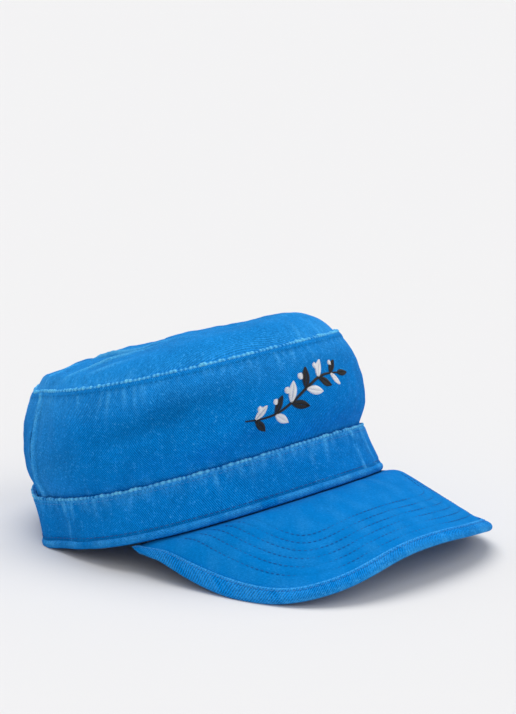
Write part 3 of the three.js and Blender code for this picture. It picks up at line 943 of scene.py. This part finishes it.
def band_edge():
    """The rolled edge under the band."""
    angle = np.linspace(-math.pi, math.pi, AROUND)
    points = rolled_edge_loop(angle, ROLL_SIDES)
    along = angle * HEM["half_width"]
    turn = FULL_TURN * (np.arange(ROLL_SIDES) + 0.5) / ROLL_SIDES
    slow, quick = wavers(along, **ROLL_WAVER)
    out = ROLL_OUT["slow"] * slow + ROLL_OUT["quick"] * quick
    points = points + outward(angle)[:, None] * out[:, None, None]
    wear = ROLL_WEAR["even"] + ROLL_WEAR["slow"] * slow + ROLL_WEAR["quick"] * quick
    wear = np.clip(wear[:, None] * np.clip(np.cos(turn - ROLL_WEAR["turn"]), 0, 1), 0, 1)
    around = np.tile(turn * ROLL_EDGE["height"] / 2, (AROUND, 1))
    cloth = cloth_place(np.repeat(along[:, None], ROLL_SIDES, 1), around)
    marks = {"wear": wear, "painted_shade": 0 * wear, "cloth": cloth}
    return loops_piece("rolled_edge", points, marks, bias_twill, ["band_edge"])


# The stitching that holds the rolled edge, and the row under the band's upper edge, by height
# over the hem. out is how far they stand off the band's face.
HEM_STITCH = dict(length=2.2, pitch=3, rise=0.16, radius=0.24, height=BAND_FOOT + 1.5, out=-0.3)
TOP_STITCH = dict(length=2, pitch=2.9, rise=0.14, radius=0.2, height=BAND_SEAM["height"] - 2.3, out=0.05)


def band_stitches(style):
    """A row of stitches all round the band."""
    angle = np.linspace(-math.pi, math.pi, AROUND)
    share = style["height"] / BAND_SEAM["height"]
    line = lerp(ring_point(HEM, angle), ring_point(BAND_SEAM, angle), share)
    return dashes(line + style["out"] * outward(angle), outward(angle), style)


PEAK_CORNER = ring_point(HEM, np.array(math.radians(PEAK["corner_angle"])))
PEAK_FRONT = ring_point(HEM, np.array(0.0))


def peak_bend(x, power):
    """How far the bend takes the peak down at a distance from its middle line."""
    def trough(across):
        return 1 - (1 - np.abs(across / PEAK["trough_radius"]) ** power) ** (1 / power)
    return PEAK["bend_drop"] * trough(x) / trough(PEAK["bend_half_width"])


def peak_height(x, y):
    forward = np.clip((PEAK_CORNER[1] - y) / (PEAK_CORNER[1] + PEAK["front_reach"]), 0, 1)
    bend = peak_bend(x, lerp(PEAK["root_power"], PEAK["edge_power"], forward))
    lift = FAR_LIFT["height"] * smooth((x - FAR_LIFT["starts"]) / FAR_LIFT["length"])
    sag = stripe(x, **NEAR_SAG)
    drape = PEAK["twist"] * x * forward + (lift - sag) * smooth(forward)
    return PEAK["crest_height"] + PEAK["slope"] * (y - PEAK_FRONT[1]) - bend + drape


def peak_outline(station):
    """The edge in plan, one cubic curve a side. station runs from -1 at one corner to 1."""
    side = np.where(station < 0, -1.0, 1.0)
    t = 1 - np.abs(station)
    start = (side * PEAK_CORNER[0], PEAK_CORNER[1] - PEAK["corner_length"] + 0 * t)
    first = (start[0] + side * PEAK["splay"], start[1] - PEAK["side_handle"])
    second = (side * PEAK["front_handle"], -PEAK["front_reach"] + 0 * t)
    end = (0 * t, second[1])
    weights = ((1 - t) ** 3, 3 * t * (1 - t) ** 2, 3 * t**2 * (1 - t), t**3)
    return [sum(w * p[i] for w, p in zip(weights, (start, first, second, end))) for i in (0, 1)]


def peak_root(station):
    angle = math.radians(PEAK["corner_angle"]) * station
    root = ring_point(HEM, angle) - outward(angle) * PEAK["tuck_under"]
    pressed = smooth(1 - (1 + station) / PEAK_END["pressed_length"])
    root[..., 2] -= GAP + PEAK_END["pressed"] * pressed
    return root


def peak_edge(station):
    """The outline, drawn in towards the root over its last stretch so that its ends are round."""
    root = peak_root(station)
    past = np.clip(1 - (1 - np.abs(station)) / PEAK_END["length"], 0, 1)
    share = np.maximum(np.sqrt(1 - past**2), PEAK_END["least"])
    share = share - stripe(station, **FAR_CUT)
    x, y = peak_outline(station)
    return lerp(root[..., 0], x, share), lerp(root[..., 1], y, share)


def peak_length(station):
    root = peak_root(station)
    x, y = peak_edge(station)
    return np.hypot(x - root[..., 0], y - root[..., 1])


def peak_point(station, reach):
    """The upper face between the root, just under the rolled edge, and the outer edge."""
    root = peak_root(station)
    edge_x, edge_y = peak_edge(station)
    x = lerp(root[..., 0], edge_x, reach)
    y = lerp(root[..., 1], edge_y, reach)
    rise = lerp(ROOT_LEVEL["front_rise"], ROOT_LEVEL["corner_rise"], np.abs(station) ** 3)
    level = root[..., 2] + rise * reach * peak_length(station)
    soft = ROOT_LEVEL["softness"]
    lower_of_both = -soft * np.logaddexp(-peak_height(x, y) / soft, -level / soft)
    return np.stack([x, y, lower_of_both], -1)


NORMAL_STEP = 0.01


def peak_frame(station, reach):
    """A point of the upper face, its normal, and the way out to the edge along it."""
    inner = peak_point(station, np.maximum(reach - NORMAL_STEP, 0))
    outer = peak_point(station, np.minimum(reach + NORMAL_STEP, 1))
    safe = np.maximum(reach, NORMAL_STEP)
    left = peak_point(np.maximum(station - NORMAL_STEP, -1), safe)
    right = peak_point(np.minimum(station + NORMAL_STEP, 1), safe)
    normal = unit(np.cross(outer - inner, right - left))
    normal = np.where(normal[..., 2:] < 0, -normal, normal)
    return peak_point(station, reach), normal, unit(outer - inner)


# Rows of stitching on the peak, by distance from its edge in plan, the dents along them, which
# fade in before the first row and out after the last, and their stitches
QUILT = dict(first=11.3, spacing=4.45, rows=6, root_clearance=5)
QUILT_DENT = dict(depth=0.16, half_width=0.7, swell=0.1)
QUILT_FADE = dict(before=0.7, after=0.3, over=0.5)
QUILT_STITCH = dict(length=1.8, pitch=2.9, rise=0.1, radius=0.18)

# How finely the outline is cut that distances are measured to, and how many points at a time
OUTLINE_POINTS = 500
OUTLINE_CHUNK = 4000

# The peak near its root, where a flap of it goes under the rolled edge, its shade and its wear
ROOT_FLAP = 4
ROOT_FADE = 6
ROOT_SHADE = dict(strength=0.8, spread=2.6)
DENT_SHADE = 0.1
PEAK_WEAR = dict(wear=0.012, size=14, seed=52)


def distance_to_edge(x, y):
    """Distance in plan from points to the peak's outline."""
    edge = np.stack(peak_outline(np.linspace(-1, 1, OUTLINE_POINTS)), -1)
    points = np.stack([x.ravel(), y.ravel()], -1)
    parts = np.array_split(points, math.ceil(len(points) / OUTLINE_CHUNK))
    nearest = [np.sqrt(((part[:, None] - edge[None]) ** 2).sum(-1).min(1)) for part in parts]
    return np.concatenate(nearest).reshape(x.shape)


def quilt_relief(distance):
    """Dents along the rows of stitching, and the soft swell between them."""
    row = (distance - QUILT["first"]) / QUILT["spacing"]
    within = smooth((row + QUILT_FADE["before"]) / QUILT_FADE["over"])
    within = within * smooth((QUILT["rows"] - QUILT_FADE["after"] - row) / QUILT_FADE["over"])
    off = np.abs(row - np.round(row)) * QUILT["spacing"]
    dent = bell(off, QUILT_DENT["half_width"]) * within
    swell = np.sin(math.pi * (row - np.floor(row))) * within
    return QUILT_DENT["swell"] * swell - QUILT_DENT["depth"] * dent, dent


def peak_stitching(station, reach, distance, from_root):
    """The rows of stitches on both faces, along lines of equal distance from the edge."""
    groups = []
    for row in range(QUILT["rows"]):
        wanted = QUILT["first"] + row * QUILT["spacing"]
        line = []
        for i in range(len(station)):
            clear = from_root[i] > QUILT["root_clearance"]
            if clear.any() and distance[i][clear].max() > wanted > distance[i][clear].min():
                at = np.interp(wanted, distance[i][clear][::-1], reach[i][clear][::-1])
                line.append((station[i, 0], at))
        place, normal, _ = peak_frame(*np.array(line).T)
        dip = QUILT_DENT["depth"]
        groups.append(dashes(place - dip * normal, normal, QUILT_STITCH))
        groups.append(dashes(place - (PEAK_BOARD - dip) * normal, -normal, QUILT_STITCH))
    threads_piece("peak_stitching", groups, threads["stitching"])


def peak():
    """The cloth-covered board of the peak, its stitched dents, and a flap under the rolled edge."""
    stations = np.linspace(-1, 1, PEAK_STATIONS)
    length = peak_length(stations)
    end = 1 - np.minimum(BINDING_CLOTH + GAP, length / 2) / length
    station = np.repeat(stations[:, None], PEAK_ROWS, 1)
    reach = end[:, None] * np.linspace(0, 1, PEAK_ROWS)[None]
    point, normal, _ = peak_frame(station, reach)
    x, y = point[..., 0], point[..., 1]
    distance = distance_to_edge(x, y)
    relief, dent = quilt_relief(distance)
    from_root = reach * length[:, None]
    peak_stitching(station, reach, distance, from_root)
    fade = smooth(from_root / ROOT_FADE)
    upper = point + normal * ((relief + uneven(x, y, RISES["peak"])) * fade)[..., None]
    lower = point + normal * (-PEAK_BOARD - relief * fade)[..., None]
    # Painted shade in the dents and along the root, under the rolled edge
    dark = DENT_SHADE * dent * fade + stripe(from_root, **ROOT_SHADE)
    wear = PEAK_WEAR["wear"] * (1 + ripple(x, y, PEAK_WEAR["size"], PEAK_WEAR["seed"]))
    inward = -outward(math.radians(PEAK["corner_angle"]) * stations)
    steps = ROOT_FLAP * (1 - np.arange(FLAP_ROWS) / FLAP_ROWS)
    flap = point[:, :1] + inward[:, None] * steps[None, :, None]
    flap_under = flap - np.array([0, 0, PEAK_BOARD])
    upper, lower = np.concatenate([flap, upper], 1), np.concatenate([flap_under, lower], 1)
    wear = np.pad(wear, [(0, 0), (FLAP_ROWS, 0)])
    # The flap under the rolled edge is painted in full shade
    dark = np.pad(dark, [(0, 0), (FLAP_ROWS, 0)], constant_values=1)
    cloth = cloth_place(upper[..., 0], upper[..., 1])
    return shell_piece("peak_board", upper, lower, wear, dark, cloth, peak_cloth, ["peak"])


# The binding, by millimetres from its start: its stitches, its lip, the dents along its stitches,
# how it puffs up beyond them, its wear along its fold, by the turn round it, and along its lip,
# and the shade in its dents
BINDING_STITCH = dict(length=2, pitch=2.9, rise=0.12, radius=0.2, from_lip=1.7, sunk=0.12)
BINDING_LIP = dict(strength=0.35, spread=0.7)
BINDING_DENT = dict(depth=0.28, half_width=0.5, even=0.6, seed=61)
BINDING_PUFF = dict(even=0.16, quick=0.05, over=2, below=0.5, fold=0.1)
BINDING_WAVER = dict(slow=16, quick=5, seed=62)
FOLD_WEAR = dict(strength=0.16, middle=-0.1, spread=0.9)
FOLD_VARIES = dict(even=0.8, share=0.25)
LIP_WEAR = dict(strength=0.24, middle=0.4, spread=0.6)
LIP_VARIES = dict(even=0.5, slow=0.025, quick=0.02, below=0.5)
LEAST_WEAR = 0.04
BINDING_SHADE = dict(dark=0.3, lump_loss=0.5)


def binding_section(station):
    """The binding's start and the middle of its fold, as shares of the way across the peak."""
    length = peak_length(station)
    widening = smooth((np.abs(station) - BINDING["widens_from"]) / BINDING["widens_over"])
    width = np.minimum(lerp(BINDING["width"], BINDING["corner_width"], widening), length)
    fold = PEAK_BOARD / 2 + GAP + BINDING_CLOTH
    return 1 - width / length, 1 - np.minimum(fold, width / 2) / length, fold


def peak_binding():
    """The strip of bias-cut cloth folded over the peak's edge."""
    stations = np.linspace(-1, 1, PEAK_STATIONS)
    start, middle, fold = binding_section(stations)
    steps = np.hypot(*(np.diff(c) for c in peak_outline(stations)))
    along = np.concatenate([[0], np.cumsum(steps)])
    station = np.repeat(stations[:, None], BINDING_ROWS, 1)
    reach = lerp(start[:, None], middle[:, None], np.linspace(0, 1, BINDING_ROWS)[None])
    point, normal, _ = peak_frame(station, reach)
    from_start = (reach - start[:, None]) * peak_length(station)
    from_stitches = from_start - BINDING_STITCH["from_lip"]
    lumps = beads(along, BINDING_STITCH["pitch"], BINDING_DENT["seed"])[:, None]
    slow, quick = (held[:, None] for held in wavers(along, **BINDING_WAVER))
    lip = stripe(from_start, **BINDING_LIP)
    stitched = bell(from_stitches, BINDING_DENT["half_width"])
    dents = BINDING_DENT["depth"] * stitched * lerp(BINDING_DENT["even"], 1, lumps)
    puff = BINDING_PUFF["even"] + BINDING_PUFF["quick"] * quick
    puff = puff * smooth(from_stitches / BINDING_PUFF["over"])
    thick = GAP + BINDING_CLOTH
    upper = point + normal * (thick - lip + puff - dents)[..., None]
    lower = point + normal * (lip - PEAK_BOARD - thick - BINDING_PUFF["below"] * puff)[..., None]
    end_point, end_normal, end_out = peak_frame(stations, middle)
    turn = math.pi * (0.5 - np.arange(1, FOLD_SIDES) / FOLD_SIDES)
    centre = (end_point - end_normal * (PEAK_BOARD / 2))[:, None]
    cos, sin = (turned[None, :, None] for turned in (np.cos(turn), np.sin(turn)))
    spokes = end_out[:, None] * cos + end_normal[:, None] * sin
    rounded = centre + (fold + BINDING_PUFF["fold"]) * spokes
    inner_round = centre + (fold - BINDING_CLOTH) * spokes
    inner_low = point - normal * (PEAK_BOARD + GAP)
    outer = np.concatenate([upper, rounded, lower[:, ::-1]], 1)
    inner = np.concatenate([point + normal * GAP, inner_round, inner_low[:, ::-1]], 1)
    whole = from_start[:, -1:]
    over_fold = whole + (math.pi / 2 - turn)[None] * fold
    below = 2 * whole + math.pi * fold - from_start[:, ::-1]
    across = np.concatenate([from_start, over_fold, below], 1)
    varies = FOLD_VARIES["even"] + FOLD_VARIES["share"] * (slow + quick)
    fold_wear = stripe(turn, **FOLD_WEAR)[None] * varies + LEAST_WEAR
    lip_wear = stripe(from_start, **LIP_WEAR) * lerp(LIP_VARIES["even"], 1, lumps) + LEAST_WEAR
    lip_wear = lip_wear + LIP_VARIES["slow"] * slow + LIP_VARIES["quick"] * quick
    wear = np.concatenate([lip_wear, fold_wear, LIP_VARIES["below"] * lip_wear[:, ::-1]], 1)
    # Painted shade in the dents along the stitches, less on their lumps
    lip_dark = BINDING_SHADE["dark"] * stitched * (1 - BINDING_SHADE["lump_loss"] * lumps)
    dark = np.concatenate([lip_dark, 0 * fold_wear, lip_dark[:, ::-1]], 1)
    cloth = cloth_place(np.repeat(along[:, None], across.shape[1], 1), across)
    stitch_reach = start + BINDING_STITCH["from_lip"] / peak_length(stations)
    line, ways, _ = peak_frame(stations, np.minimum(stitch_reach, middle))
    stitches = dashes(line + ways * (thick - BINDING_STITCH["sunk"]), ways, BINDING_STITCH)
    threads_piece("binding_stitching", [stitches], threads["sewing"])
    return shell_piece(
        "edge_binding", outer, inner, wear, dark, cloth, bias_twill, ["peak_binding"]
    )


# The sprig embroidered on the front, in millimetres over the wall: the middle's angle and share
# of the height, the stem's half length, how it slants and bends, and the threads. Its leaves
# stand in pairs from first to last along the stem, with a berry past each pair.
SPRIG = dict(angle=-9, share=0.5, half_length=33, slant=11, bend=3.5, thread=0.24, spacing=0.5, rise=0.5)
STEM = dict(ends=0.35, swell=0.55, lean=0.5)
LEAF = dict(length=12.5, width=5.2, lean=46, tip_loss=0.3, roundness=0.8, slope=0.45)
LEAVES = dict(pairs=6, first=-0.86, last=0.8, at_tip=0.7)
BERRY = dict(radius=1.9, stalk=7.5, heading=100, past_leaves=3.5)
SURFACE_STEP = 0.01


def wall_surface(u, v):
    """The wall's surface and its normal at places in millimetres from the sprig's middle."""
    angle = math.radians(SPRIG["angle"]) + u / WALL_RADIUS
    share = SPRIG["share"] + v / WALL_SPAN
    step = SURFACE_STEP
    point = wall_outer(angle, share)[0]
    across = wall_outer(angle + step, share)[0] - wall_outer(angle - step, share)[0]
    upward = wall_outer(angle, share + step)[0] - wall_outer(angle, share - step)[0]
    return point, unit(np.cross(across, upward))


def stem_place(t):
    """The stem's middle line for t from -1 to 1, and its heading."""
    slant = math.radians(SPRIG["slant"])
    x = SPRIG["half_length"] * t
    y = SPRIG["bend"] * np.sin(math.pi * t)
    dx = SPRIG["half_length"]
    dy = SPRIG["bend"] * math.pi * np.cos(math.pi * t)
    u = x * math.cos(slant) - y * math.sin(slant)
    v = x * math.sin(slant) + y * math.cos(slant)
    return u, v, np.arctan2(dy, dx) + slant


def satin(starts, ends):
    """Threads laid side by side from starts to ends, both in millimetres over the wall."""
    t = np.linspace(0, 1, THREAD_POINTS)[None, :, None]
    flat = starts[:, None] * (1 - t) + ends[:, None] * t
    point, normal = wall_surface(flat[..., 0], flat[..., 1])
    return arched_threads(point, normal, SPRIG["rise"], SPRIG["thread"])


def leaf_threads(u, v, heading, size):
    """A leaf in two halves of slanting satin stitches that meet at its midrib."""
    length = LEAF["length"] * size
    t = np.arange(SPRIG["spacing"], length, SPRIG["spacing"]) / length
    round_power = LEAF["roundness"]
    half = LEAF["width"] * size / 2 * np.sin(math.pi * t**round_power) ** round_power
    way = np.array([math.cos(heading), math.sin(heading)])
    side = np.array([-way[1], way[0]])
    rib = np.array([u, v]) + (t * length)[:, None] * way
    groups = []
    for sign in (-1, 1):
        tip = rib + sign * half[:, None] * side + (LEAF["slope"] * half)[:, None] * way
        groups.append(satin(rib, tip))
    return groups


def berry_threads(u, v, radius):
    """A small round berry of level satin stitches."""
    up = np.arange(-radius + SPRIG["spacing"] / 2, radius, SPRIG["spacing"])
    half = np.sqrt(radius**2 - up**2)
    starts = np.stack([u - half, v + up], -1)
    ends = np.stack([u + half, v + up], -1)
    return satin(starts, ends)


def stem_threads():
    """The stem as short satin stitches across its line, thinner at both ends."""
    t = np.linspace(-1, 1, round(2 * SPRIG["half_length"] / SPRIG["spacing"]))
    u, v, heading = stem_place(t)
    half = STEM["ends"] + STEM["swell"] * (1 - t**2)
    across = heading + STEM["lean"]
    side = np.stack([-np.sin(across), np.cos(across)], -1) * half[:, None]
    line = np.stack([u, v], -1)
    return satin(line - side, line + side)


def sprig():
    """A generic leafy sprig with berries: black stem and lower leaves, white upper ones."""
    black, white = [stem_threads()], []
    for pair in range(LEAVES["pairs"]):
        t = lerp(LEAVES["first"], LEAVES["last"], pair / (LEAVES["pairs"] - 1))
        u, v, heading = (float(value) for value in stem_place(t))
        size = 1 - LEAF["tip_loss"] * abs(t)
        for side, kind in ((1, black if pair % 2 else white), (-1, white if pair % 2 else black)):
            kind.extend(leaf_threads(u, v, heading + side * math.radians(LEAF["lean"]), size))
        turned = heading + math.radians(BERRY["heading"])
        past, stalk = BERRY["past_leaves"], BERRY["stalk"] * size
        berry_u = u + past * math.cos(heading) + stalk * math.cos(turned)
        berry_v = v + past * math.sin(heading) + stalk * math.sin(turned)
        white.append(berry_threads(berry_u, berry_v, BERRY["radius"] * size))
    u, v, heading = (float(value) for value in stem_place(1.0))
    black.extend(leaf_threads(u, v, heading, LEAVES["at_tip"]))
    threads_piece("sprig_black", black, threads["black embroidery"])
    threads_piece("sprig_white", white, threads["white embroidery"])


half_gap = GAP / 2 / WALL_RADIUS
crown_top()
wall_panel("front", half_gap - SIDE_SEAM, SIDE_SEAM - half_gap)
wall_panel("back", SIDE_SEAM + half_gap, FULL_TURN - SIDE_SEAM - half_gap)
rope("crown_seam_fold", top_ring, TOP_ROPE)
band()
rope("band_seam_fold", band_ring, BAND_ROPE)
band_edge()
threads_piece("band_stitching", [band_stitches(HEM_STITCH)], threads["stitching"])
threads_piece("band_top_stitching", [band_stitches(TOP_STITCH)], threads["sewing"])
peak()
peak_binding()
sprig()


FLOOR_HALF = 16
FLOOR_SURFACE = dict(Base_Color=FLOOR_WHITE, Roughness=0.9, Specular_IOR_Level=0.0)


def floor():
    mesh = bpy.data.meshes.new("floor")
    half = FLOOR_HALF
    corners = [(-half, -half, 0), (half, -half, 0), (half, half, 0), (-half, half, 0)]
    mesh.from_pydata(corners, [], [(0, 1, 2, 3)])
    s = Shader("floor paper")
    s.set(**FLOOR_SURFACE)
    mesh.materials.append(s.material)
    made = bpy.data.objects.new("floor", mesh)
    bpy.context.collection.objects.link(made)


# The light: a pale room, a broad soft light overhead and a little behind the cap, and weaker ones
# from the view's right and from near the camera. toward points to the light, and spread is its
# width in degrees.
ROOM = dict(colour=(0.985, 0.985, 1, 1), strength=0.45)
LIGHTS = {
    "overhead": dict(toward=(0.16, 0.27, 1), spread=50, strength=1.86),
    "right": dict(toward=(0.68, -0.73, 0.62), spread=46, strength=0.62),
    "front": dict(toward=(-0.6, -0.8, 0.6), spread=60, strength=0.62),
}


def light_room():
    world = bpy.data.worlds.new("pale room")
    world.use_nodes = True
    world.node_tree.nodes["Background"].inputs["Color"].default_value = ROOM["colour"]
    world.node_tree.nodes["Background"].inputs["Strength"].default_value = ROOM["strength"]
    bpy.context.scene.world = world
    for name, light in LIGHTS.items():
        data = bpy.data.lights.new(name, "SUN")
        data.angle = math.radians(light["spread"])
        data.energy = light["strength"]
        lamp = bpy.data.objects.new(name, data)
        lamp.rotation_euler = Vector(light["toward"]).to_track_quat("Z", "Y").to_euler()
        bpy.context.collection.objects.link(lamp)
    bpy.context.scene.view_settings.view_transform = "Standard"


# The photograph's frame in pixels, and the view that was fitted to it, in degrees and metres
PHOTO_HEIGHT = 714
FOCAL_PIXELS = 2160
PRINCIPAL_ROW = 455.2
SENSOR = 36
AZIMUTH = -47
ELEVATION = 14.2
DISTANCE = 1.2
AIM_RIGHT = 0.02714
AIM_HEIGHT = 0.04002
CLIP_END = 100


def camera():
    a, e = math.radians(AZIMUTH), math.radians(ELEVATION)
    back = Vector((math.sin(a) * math.cos(e), -math.cos(a) * math.cos(e), math.sin(e)))
    right = Vector((math.cos(a), math.sin(a), 0))
    up = back.cross(right)
    target = right * AIM_RIGHT + Vector((0, 0, AIM_HEIGHT)) + Vector(SHIFT) * MM
    data = bpy.data.cameras.new("camera")
    data.sensor_width = SENSOR
    data.lens = FOCAL_PIXELS / PHOTO_HEIGHT * SENSOR
    data.shift_y = (PRINCIPAL_ROW - PHOTO_HEIGHT / 2) / PHOTO_HEIGHT
    data.clip_end = CLIP_END
    made = bpy.data.objects.new("camera", data)
    axes = Matrix((right, up, back)).transposed().to_4x4()
    made.matrix_world = Matrix.Translation(target + back * DISTANCE) @ axes
    bpy.context.collection.objects.link(made)
    bpy.context.scene.camera = made


floor()
light_room()
camera()
